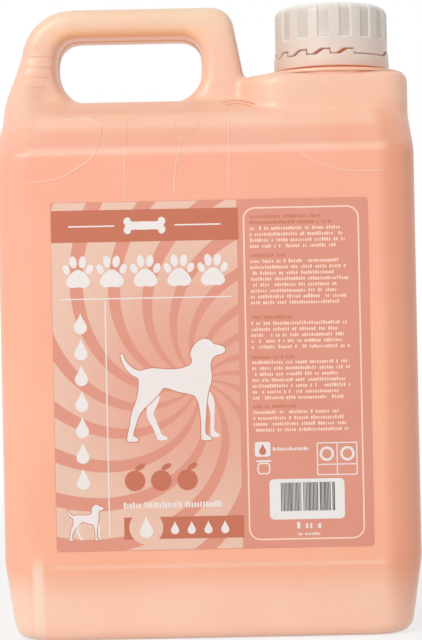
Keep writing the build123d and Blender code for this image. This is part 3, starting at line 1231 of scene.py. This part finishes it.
# --- Cap and band ------------------------------------------------------------------------------------
@dataclass
class Closure:
    """The screw cap with its liner, and the tamper band with ratchet teeth under it."""

    cap_radius: float = 21.4
    cap_bore: float = 19.3
    cap_bottom: float = 214.2
    cap_top: float = 233.5
    cap_edge: float = 3.2
    flute_width: float = 4.2
    flute_soft: float = 0.35
    flute_depth: float = 0.6
    flute_foot: float = 6.2
    band_radius: float = 21.9
    band_bore: float = 19.9
    band_lip: float = 18.4
    band_bottom: float = 209.5
    band_top: float = 213.85
    tooth_height: float = 1.7
    tooth_ramp: float = 2.9
    tooth_flat: float = 2.2
    teeth: int = 6
    tooth_pitch: float = 24.0
    first_tooth: float = -104.0
    notch: Solid = (2.2, 0.5, 0.3)
    liner_low: float = 230.4
    liner_high: float = 231.6
    thread: Thread = Thread(1.3, 19.15, 1.0, 222.78)
    columns: int = 960

    def point(self, angle: float, radius: float, height: float) -> Solid:
        """A place by its angle from -Y towards +X, in degrees."""
        turn = math.radians(angle)
        return (NECK_X + radius * math.sin(turn), -radius * math.cos(turn), height)

    def ratchet(self, angle: float, slack: float, rise: float, side: float) -> float:
        """How high a tooth, or the notch around it, reaches above the band's top edge at an angle."""
        top = self.tooth_height + rise
        left = self.tooth_ramp + self.tooth_flat / 2 + slack
        right = self.tooth_flat / 2 + side
        ramp = self.tooth_ramp / self.tooth_height
        height = 0.0
        for start in (self.first_tooth, self.first_tooth + 180):
            for index in range(self.teeth):
                off = (angle - start - index * self.tooth_pitch + 180) % 360 - 180
                x = math.radians(off) * self.band_radius
                if -left < x < right:
                    height = max(height, min(top, (x + left) / ramp))
        return height

    def fluting(self, angle: float) -> float:
        """How much of the flutes' depth there is at an angle."""
        pitch = 360 / FLUTES
        off = abs((angle % pitch) - pitch / 2)
        x = math.radians(off) * self.cap_radius
        half, soft = self.flute_width / 2, self.flute_soft
        return 1 - smooth(x, half - soft, half + soft)

    def angles(self) -> list[float]:
        """The angles of the columns."""
        return [360 * column / self.columns for column in range(self.columns)]

    def plain(self, *places: Flat) -> list[Row]:
        """Rows that are round all the way."""
        return [lambda a, r=radius, z=height: (r, z) for radius, height in places]

    def edged(self, edge: Callable[[float], float], *places: Flat) -> list[Row]:
        """Rows so far above a toothed edge."""
        return [lambda a, r=radius, up=above: (r, edge(a) + up) for radius, above in places]

    def fluted(self, *places: Solid) -> list[Row]:
        """Rows drawn in by a share of the flutes' depth."""
        rows = []
        for radius, height, share in places:
            depth = share * self.flute_depth
            rows.append(lambda a, r=radius, z=height, d=depth: (r - d * self.fluting(a), z))
        return rows

    def cap(self) -> bpy.types.Object:
        """The cap, with flutes above a plain skirt and notches in its lower edge."""
        bottom, top, edge = self.cap_bottom, self.cap_top, self.cap_edge
        outer, bore, sill = self.cap_radius, self.cap_bore, bottom + self.flute_foot
        rows = self.plain(
            (0.0, top - 1.9), (17.8, top - 1.9), (18.9, top - 2.0), (bore, top - 2.4), (bore, sill),
            (bore, bottom + 2.6),
        )
        rows += self.edged(
            self.lower_edge, (bore, 0.15), (bore + 0.2, 0.0), (outer - 0.3, 0.0), (outer, 0.3)
        )
        rows += self.plain((outer, bottom + 2.6), (outer, sill - 0.9), (outer, sill - 0.25))
        rows += self.fluted(
            (outer, sill, 0.35), (outer, sill + 0.35, 0.8), (outer, sill + 0.9, 1.0),
            (outer, bottom + 9.5, 1.0), (outer, bottom + 12.5, 1.0), (outer, top - edge - 0.4, 1.0),
        )
        for step in range(9):
            angle = math.pi / 2 * step / 8
            share = math.cos(angle)
            height = top - edge * (1 - math.sin(angle))
            rows += self.fluted((outer - edge * (1 - share), height, share))
        rows += self.plain(
            (17.0, top), (16.6, top - 0.12), (16.2, top - 0.35), (15.7, top - 0.4), (9.0, top - 0.4),
            (2.4, top - 0.4), (2.0, top - 0.55), (1.0, top - 0.6), (0.6, top - 0.35), (0.0, top - 0.3),
        )
        return self.turned("screw_cap_body", rows, CAP_WHITE)

    def lower_edge(self, angle: float) -> float:
        """The height of the cap's lower edge."""
        return max(self.cap_bottom, self.band_top + self.ratchet(angle, *self.notch))

    def upper_edge(self, angle: float) -> float:
        """The height of the band's upper edge."""
        return self.band_top + self.ratchet(angle, 0.0, 0.0, 0.0)

    def turned(self, name: str, rows: Sequence[Row], finish: Finish) -> bpy.types.Object:
        """A shape about the neck's axis whose rows give a radius and a height at each angle."""
        rings = []
        for row in rows:
            places = [self.point(angle, *row(angle)) for angle in self.angles()]
            rings.append(places[:1] if row(0.0)[0] < 1e-6 else places)
        return shade(put(name, stack(name, rings), finish), 32)

    def band(self) -> bpy.types.Object:
        """The tamper band: a ring with teeth on its upper edge and a lip that grips the neck's bead."""
        bottom, outer, bore, lip = self.band_bottom, self.band_radius, self.band_bore, self.band_lip
        rows = self.plain(
            (lip, bottom + 1.9), (lip, bottom + 0.25), (lip + 0.25, bottom), (outer - 0.5, bottom),
            (outer - 0.12, bottom + 0.15), (outer, bottom + 0.5), (outer, self.band_top - 1.6),
        )
        rows += self.edged(
            self.upper_edge, (outer, -0.3), (outer - 0.25, 0.0), (bore + 0.2, 0.0), (bore, -0.2)
        )
        rows += self.plain((bore, self.band_top - 1.6), (bore, bottom + 2.2), (lip, bottom + 1.9))
        return self.turned("tamper_band_ring", rows, CAP_WHITE)

    def liner(self) -> bpy.types.Object:
        """The foam disc in the cap, with the ring that the bottle's rim has pressed in it."""
        low, high = self.liner_low, self.liner_high
        profile = [
            (0.0, low), (14.6, low), (15.0, low + 0.08), (17.5, low + 0.08), (17.9, low),
            (18.5, low), (18.75, low + 0.2), (18.8, low + 0.6), (18.75, high - 0.2), (18.5, high),
            (0.0, high),
        ]
        return shade(put("cap_liner_disc", lathe("liner", profile, 96), FOAM), 40)

    def build(self) -> None:
        """Makes the cap, its liner and thread, and the band, and dresses them."""
        dress(self.cap(), "cap", "cap_plastic", "screw_cap")
        dress(self.liner(), "cap", "liner_foam", "cap_liner")
        dress(self.band(), "band", "cap_plastic", "tamper_band")
        dress(self.thread.make("cap_thread", CAP_WHITE), "cap", "cap_plastic")


# --- The label ---------------------------------------------------------------------------------------
def disc(centre: Flat, radius: float, sides: int = 40) -> list[Vector]:
    """A circle."""
    turns = [math.tau * side / sides for side in range(sides)]
    return [Vector((centre[0] + radius * math.cos(t), centre[1] + radius * math.sin(t))) for t in turns]


def oval(centre: Flat, across: float, up: float, tilt: float = 0.0) -> list[Vector]:
    """An ellipse tilted anticlockwise by tilt degrees."""
    turn = Matrix.Rotation(math.radians(tilt), 2)
    middle = Vector(centre)
    return [middle + turn @ Vector((p.x * across, p.y * up)) for p in disc((0, 0), 1.0, 28)]


def box(left: float, low: float, right: float, high: float, radius: float = 0.0) -> list[Vector]:
    """A rectangle, with rounded corners if radius is given."""
    corners = [(left, low), (right, low), (right, high), (left, high)]
    return rounded(corners, [radius] * 4)


def frame(
    left: float, low: float, right: float, high: float, radius: float, line: float
) -> list[list[Vector]]:
    """The outline of a rounded rectangle as a line."""
    inner = box(left + line, low + line, right - line, high - line, max(radius - line, 0.0))
    return [box(left, low, right, high, radius), inner[::-1]]


def moved(shape: Iterable[Vector], x: float, y: float, size: float = 1.0) -> list[Vector]:
    """A shape scaled and then moved."""
    return [Vector((x + point.x * size, y + point.y * size)) for point in shape]


def mirrored(half: Sequence[Flat]) -> list[Flat]:
    """A closed outline from its right half, whose ends lie on the line x = 0."""
    return [*half, *((-x, y) for x, y in half[-2:0:-1])]


def paw(centre: Flat, size: float) -> list[list[Vector]]:
    """A paw print size high: one pad and four toes."""
    half = [(0.0, -0.43), (0.22, -0.44), (0.36, -0.30), (0.28, -0.10), (0.12, 0.05), (0.0, 0.09)]
    pad = flowing(mirrored(half), closed=True)
    toes = [
        oval((-0.345, 0.10), 0.1, 0.155, 24), oval((-0.14, 0.32), 0.11, 0.18, 8),
        oval((0.14, 0.32), 0.11, 0.18, -8), oval((0.345, 0.10), 0.1, 0.155, -24),
    ]
    return [moved(shape, centre[0], centre[1], size) for shape in (pad, *toes)]


def drop(centre: Flat, size: float) -> list[Vector]:
    """A drop of liquid, point up."""
    half = [
        (0.0, 0.5), (0.07, 0.34), (0.2, 0.1), (0.31, -0.12), (0.28, -0.34), (0.14, -0.47), (0.0, -0.5),
    ]
    return moved(flowing(mirrored(half), closed=True, steps=5), centre[0], centre[1], size)


def bone(centre: Flat, length: float) -> list[Vector]:
    """A bone biscuit lying flat."""
    quarter = [(0.0, 0.1), (0.3, 0.1), (0.34, 0.17), (0.41, 0.2), (0.48, 0.16), (0.5, 0.08), (0.46, 0.0)]
    right = quarter + [(x, -y) for x, y in quarter[-2::-1]]
    left = [(-x, -y) for x, y in right[1:-1]]
    return moved(flowing(right + left, closed=True, steps=4), centre[0], centre[1], length)


def dog(left: float, low: float, width: float, height: float) -> list[list[Vector]]:
    """A slim hound that stands facing right: its near side, and its two far legs."""
    near = [
        (0.225, 0.70), (0.31, 0.712), (0.42, 0.70), (0.53, 0.70), (0.62, 0.722), (0.665, 0.755),
        (0.668, 0.80), (0.655, 0.835), (0.668, 0.88), (0.695, 0.93), (0.735, 0.97), (0.79, 0.99),
        (0.845, 0.975), (0.878, 0.94), (0.93, 0.925), (0.975, 0.905), (0.985, 0.87), (0.955, 0.84),
        (0.90, 0.825), (0.865, 0.795), (0.845, 0.73), (0.855, 0.65), (0.85, 0.57), (0.825, 0.49),
        (0.805, 0.38), (0.795, 0.25), (0.785, 0.12), (0.79, 0.06), (0.835, 0.03), (0.835, 0.0),
        (0.755, 0.0), (0.745, 0.05), (0.748, 0.14), (0.74, 0.25), (0.725, 0.36), (0.69, 0.43),
        (0.63, 0.455), (0.54, 0.475), (0.46, 0.505), (0.40, 0.515), (0.355, 0.46), (0.30, 0.40),
        (0.235, 0.34), (0.185, 0.285), (0.15, 0.22), (0.125, 0.14), (0.105, 0.06), (0.145, 0.03),
        (0.145, 0.0), (0.055, 0.0), (0.05, 0.05), (0.07, 0.14), (0.085, 0.235), (0.105, 0.31),
        (0.14, 0.40), (0.16, 0.50), (0.165, 0.60), (0.135, 0.63), (0.085, 0.665), (0.04, 0.72),
        (0.01, 0.79), (0.0, 0.85), (0.022, 0.85), (0.04, 0.80), (0.08, 0.745), (0.13, 0.705),
        (0.18, 0.69),
    ]
    fore = [
        (0.80, 0.50), (0.865, 0.42), (0.875, 0.30), (0.87, 0.18), (0.87, 0.09), (0.91, 0.055),
        (0.91, 0.03), (0.84, 0.03), (0.833, 0.08), (0.835, 0.18), (0.83, 0.28), (0.805, 0.38),
        (0.76, 0.45),
    ]
    hind = [
        (0.27, 0.45), (0.36, 0.44), (0.33, 0.34), (0.30, 0.27), (0.325, 0.19), (0.36, 0.10),
        (0.375, 0.06), (0.42, 0.035), (0.42, 0.01), (0.34, 0.01), (0.32, 0.06), (0.285, 0.14),
        (0.245, 0.22), (0.235, 0.28), (0.245, 0.36),
    ]
    shapes = []
    for outline in (near, fore, hind):
        sized = [(left + x * width, low + y * height) for x, y in outline]
        shapes.append(flowing(sized, closed=True, steps=4))
    return shapes


@dataclass
class Label:
    """The printed label on the front: a swirl of rays, dogs, icons and rows of greeked print."""

    left: float = -56.2
    bottom: float = 33.3
    face: float = -48.15
    width: float = 114.0
    height: float = 125.3
    split: float = 67.0
    layer: float = 0.02
    sunk: float = 0.02
    stroke: float = 0.05
    swirl: Flat = (52.4, 60.3)

    def art(
        self,
        name: str,
        shapes: Sequence[Sequence[Vector] | Sequence[Sequence[Vector]]],
        level: int,
        ink: Ink,
        grow: float = 0.0,
    ) -> None:
        """Prints closed shapes as thin slabs.

        Args:
            name: The piece's name.
            shapes: Outlines in millimetres from the label's lower left corner; a list of outlines
                is one shape with holes.
            level: Which layer of ink it is in.
            ink: Its ink.
            grow: How far the outlines are widened.
        """
        depth = level * self.layer + self.sunk
        centre = self.face + self.sunk - depth / 2
        slabs = []
        for shape in shapes:
            outlines = shape if isinstance(shape[0], list) else [shape]
            mesh = plate(name, outlines, depth / 2, 0.0, grow)
            mesh.transform(UPRIGHT)
            mesh.transform(Matrix.Translation(Vector((self.left, centre, self.bottom)) * MM))
            slabs.append(put("slab", mesh))
        piece = join(name, slabs)
        paint(piece, ink.value)
        dress(piece, "bottle", "label_film")

    def rays(self) -> None:
        """The swirl of pale rays on the left panel."""
        sheet = ray_tree().make(
            "rays",
            Ink.RAY.value,
            Count=16,
            Width=math.radians(15.0),
            Start=math.radians(16.5),
            Twist=-math.radians(1.19) / MM,
            Inner=3.0 * MM,
            Outer=88.0 * MM,
        )
        work = bmesh.new()
        work.from_mesh(sheet.data)
        bpy.data.objects.remove(sheet)
        bmesh.ops.translate(work, vec=Vector((*self.swirl, 0.0)) * MM, verts=work.verts)
        margin = 0.15
        for place, outward in (
            ((margin, 0), (-1, 0)), ((self.split - margin, 0), (1, 0)), ((0, margin), (0, -1)),
            ((0, self.height - margin), (0, 1)),
        ):
            bmesh.ops.bisect_plane(
                work,
                geom=everything(work),
                plane_co=Vector((*place, 0)) * MM,
                plane_no=Vector((*outward, 0)),
                clear_outer=True,
            )
        grown = bmesh.ops.extrude_face_region(work, geom=work.faces[:])
        lifted = [item for item in grown["geom"] if isinstance(item, bmesh.types.BMVert)]
        bmesh.ops.translate(work, vec=(0, 0, 2 * self.layer * MM), verts=lifted)
        bmesh.ops.recalc_face_normals(work, faces=work.faces)
        mesh = baked("rays", work)
        mesh.transform(UPRIGHT)
        place = Vector((self.left, self.face + self.layer, self.bottom)) * MM
        mesh.transform(Matrix.Translation(place))
        dress(put("label_rays", mesh, Ink.RAY.value), "bottle", "label_film")

    def picture(self) -> None:
        """The left panel's band, rules, dogs and small shapes."""
        self.art("label_band", [box(0.2, 110.9, 67.4, 122.4), box(24.4, 4.0, 67.4, 11.9)], 3, Ink.BAND)
        big, small = dog(24.3, 39.2, 38.1, 36.7), dog(4.0, 4.0, 13.3, 12.9)
        self.art("label_dog_edge", big[:1], 3, Ink.SHADE, 0.3)
        self.art("label_dog_far_legs", big[1:], 2, Ink.WHITE)
        self.art("label_dog", big[:1], 4, Ink.WHITE)
        self.art("label_small_dog_edge", small[:1], 3, Ink.SHADE, 0.25)
        self.art("label_small_dog", small[:1], 4, Ink.WHITE)
        self.art("label_small_dog_far_legs", small[1:], 2, Ink.WHITE)
        rules = [box(3.1, 90.3, 64.5, 90.75), box(18.9, 5.2, 19.35, 89.3)]
        self.art("label_rules", rules, 4, Ink.WHITE)
        paws = [shape for i in range(5) for shape in paw((9.6 + 12.1 * i, 100.0), 12.0)]
        self.art("label_paws", paws, 4, Ink.WHITE)
        self.art("label_drops", [drop((10.1, 25.9 + 9.3 * i), 7.4) for i in range(7)], 4, Ink.WHITE)
        sides = [box(6.5, 116.35, 23.0, 116.85), box(44.6, 116.35, 61.1, 116.85)]
        self.art("label_bone", [bone((33.8, 116.6), 15.0), *sides], 4, Ink.WHITE)
        fruit = []
        for index in range(3):
            centre = (28.6 + 9.4 * index, 25.0)
            fruit.append(disc(centre, 3.7))
            fruit.append(oval((centre[0] + 1.9, centre[1] + 4.9), 2.0, 0.95, 28))
        self.art("label_fruit", fruit, 3, Ink.BAND)
        self.art("label_dose_disc", [disc((32.3, 8.2), 6.1)], 4, Ink.RAY)
        self.art("label_dose_drop", [drop((32.3, 8.3), 7.6)], 5, Ink.WHITE)
        self.art("label_bar_drops", [drop((42.6 + 6.0 * i, 7.9), 4.6) for i in range(4)], 4, Ink.WHITE)

    def panel(self) -> None:
        """The right panel's outline, icons and bar code."""
        self.art("label_panel_line", [frame(69.1, 2.8, 110.8, 122.4, 4.3, 0.55)], 2, Ink.PALE)
        icons = [
            box(71.8, 32.8, 77.4, 38.1, 0.9),
            frame(94.0, 25.7, 108.6, 37.5, 0.5, 0.4),
            box(101.1, 26.0, 101.5, 37.2),
            box(94.2, 29.4, 108.4, 29.8),
            frame(72.6, 26.4, 77.2, 30.6, 1.2, 0.5),
            box(72.2, 30.9, 77.6, 31.5, 0.2),
        ]
        for centre in (97.6, 105.0):
            icons.append([disc((centre, 33.4), 2.6), disc((centre, 33.4), 1.7)[::-1]])
        self.art("label_icons", icons, 2, Ink.WHITE)
        self.art("label_icon_drop", [drop((74.6, 35.4), 4.0)], 3, Ink.SHADE)
        self.art("label_code_plate", [box(76.8, 10.1, 103.7, 24.6, 1.6)], 2, Ink.PLATE)

    def rows(self) -> None:
        """The rows of greeked print, and the bars of the bar code."""
        tree = stroke_tree()
        pieces: dict[Ink, list[bpy.types.Object]] = {}

        def print_rows(
            ink: Ink, level: int, left: float, high: float, rows: int, columns: int, seed: int,
            pitch: float = 2.12, tall: float = 1.35, wide: float = 0.86, gaps: float = 0.15,
            ragged: float = 6.0, even: float = 0.68,
        ) -> None:
            """Adds rows that start at (left, high), the middle of the first."""
            face = self.face - level * self.layer + self.stroke / 2
            corner = Vector((self.left + left, face, self.bottom + high))
            corner.z -= tall / 2
            piece = tree.make(
                f"rows_{ink.name}_{seed}",
                ink.value,
                Rows=rows,
                Columns=columns,
                Corner=corner * MM,
                Column_Pitch=wide * MM,
                Row_Pitch=pitch * MM,
                Narrow=0.45 * wide * MM,
                Wide=0.8 * wide * MM,
                Low=even * tall * MM,
                High=tall * MM,
                Gaps=gaps,
                Ragged=ragged,
                Thickness=self.stroke * MM,
                Seed=seed,
            )
            pieces.setdefault(ink, []).append(piece)

        print_rows(Ink.SHADE, 2, 71.8, 119.1, 2, 36, 3)
        print_rows(Ink.PALE, 2, 71.8, 114.8, 4, 42, 5)
        for number, (head, top, count) in enumerate(
            ((105.1, 103.0, 8), (82.9, 80.7, 5), (68.5, 66.7, 7), (50.9, 48.8, 4))
        ):
            print_rows(Ink.SHADE, 2, 71.8, head, 1, 20, 20 + number)
            print_rows(Ink.PALE, 2, 71.8, top, count, 42, 40 + number)
        print_rows(Ink.WHITE, 2, 78.6, 35.5, 1, 16, 61, ragged=0.5)
        print_rows(Ink.WHITE, 3, 24.8, 16.4, 1, 35, 62, tall=2.5, wide=1.05, ragged=0.5)
        print_rows(Ink.WHITE, 2, 87.0, 8.0, 1, 7, 63, tall=2.4, wide=1.5, ragged=0.5)
        print_rows(Ink.WHITE, 2, 87.2, 4.9, 1, 11, 64, tall=1.1, wide=0.8, ragged=0.5)
        print_rows(
            Ink.DARK, 3, 81.0, 18.2, 1, 40, 65, tall=10.2, wide=0.5, gaps=0.16, ragged=0.5, even=1.0
        )
        for ink, parts in pieces.items():
            joined = join(f"label_rows_{ink.name.lower()}", parts)
            paint(joined, ink.value)
            dress(joined, "bottle", "label_film")

    def build(self, node: bpy.types.Object) -> None:
        """Gives the film its finish and prints everything on it."""
        paint(node, FILM)
        self.rays()
        self.picture()
        self.panel()
        self.rows()


# --- Stage -------------------------------------------------------------------------------------------
@dataclass
class Studio:
    """The pale floor, the soft light and the camera."""

    floor_radius: float = 3000.0
    clear: Flat = (0.16, 0.75)
    ambient: float = 0.58
    aim: Solid = (0.0, 0.0, 0.12)
    distance: float = 0.75
    eye: Flat = (0.0008, 0.1155)
    roll: float = -1.15
    lens: float = 110.0

    def seen(self, graph: Graph) -> Wire:
        """1 for rays that show the background: from the camera, by mirror reflection or through glass."""
        path = graph.add("ShaderNodeLightPath", output="Is Camera Ray")
        node = path.socket.node
        others = Wire(graph, node.outputs["Is Glossy Ray"]).math(
            "MAXIMUM", Wire(graph, node.outputs["Is Transmission Ray"])
        )
        return path.math("MAXIMUM", others)

    def floor(self) -> None:
        """A round pale floor that turns into the white surroundings away from the object."""
        rings = [[(0.0, 0.0, 0.0)]]
        rim = self.floor_radius
        for radius, height in ((200.0, 0.0), (600.0, 0.0), (1500.0, 0.0), (rim, 0.0), (rim, -10.0)):
            rings.append([(p.x, p.y, height) for p in disc((0, 0), radius, 96)])
        mesh = stack("floor", rings)
        material = bpy.data.materials.new("floor_pale")
        graph = fresh_graph(material)
        across, deep = graph.axis("X"), graph.axis("Y")
        away = (across * across + deep * deep).math("SQRT").rise(*self.clear)
        paper = graph.mix(graph.noise(3.0), rgb(238, 238, 238), rgb(244, 244, 244))
        matt = graph.add("ShaderNodeBsdfDiffuse", inputs={"Color": paper})
        glow = graph.add("ShaderNodeEmission", inputs={"Color": (1, 1, 1, 1), "Strength": 1.0})
        share = self.seen(graph) * (0.70 + 0.30 * away)
        both = graph.add("ShaderNodeMixShader", inputs={0: share, 1: matt, 2: glow})
        graph.add("ShaderNodeOutputMaterial", inputs={"Surface": both})
        mesh.materials.append(material)
        put("floor", mesh)

    def world(self) -> None:
        """Even white surroundings: white where they are seen, softer where they light the object."""
        world = bpy.data.worlds.new("studio_world")
        bpy.context.scene.world = world
        graph = fresh_graph(world)
        strength = self.seen(graph) * (1.0 - self.ambient) + self.ambient
        back = graph.add("ShaderNodeBackground", inputs={"Color": (1, 1, 1, 1), "Strength": strength})
        graph.add("ShaderNodeOutputWorld", inputs={"Surface": back})

    def lamp(self, name: str, place: Solid, size: float, power: float, tint: Solid) -> None:
        """A square soft lamp at place that shines at the bottle's middle."""
        light = bpy.data.lights.new(name, "AREA")
        light.size = size
        light.energy = power
        light.color = tint
        lamp = add_object(name, light)
        lamp.location = place
        lamp.rotation_euler = (Vector(self.aim) - Vector(place)).to_track_quat("-Z", "Y").to_euler()

    def camera(self) -> None:
        """The camera, level and square to the label, turned a little about its own axis."""
        view = bpy.data.cameras.new("camera")
        view.lens = self.lens
        view.sensor_width = 36.0
        view.clip_start = 0.01
        eye = add_object("camera", view)
        turn = UPRIGHT @ Matrix.Rotation(math.radians(self.roll), 4, "Z")
        eye.matrix_world = Matrix.Translation((self.eye[0], -self.distance, self.eye[1])) @ turn
        bpy.context.scene.camera = eye

    def build(self) -> None:
        """Sets up the stage."""
        self.floor()
        self.world()
        self.lamp("key_lamp", (-0.75, -1.2, 0.95), 0.8, 13.5, (1.0, 0.985, 0.96))
        self.lamp("fill_lamp", (1.4, -0.9, 0.6), 1.0, 0.8, (1.0, 0.98, 0.96))
        self.camera()
        bpy.context.scene.view_settings.view_transform = "Standard"


def main() -> None:
    """Builds the bottle, its closure, its label and the studio, in that order."""
    logging.basicConfig(level=logging.INFO, format="%(message)s", stream=sys.stdout)
    frame_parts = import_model()
    BottleShell().build()
    Closure().build()
    Label().build(frame_parts["nodes"]["label"])
    Studio().build()


if __name__ == "__main__":
    main()
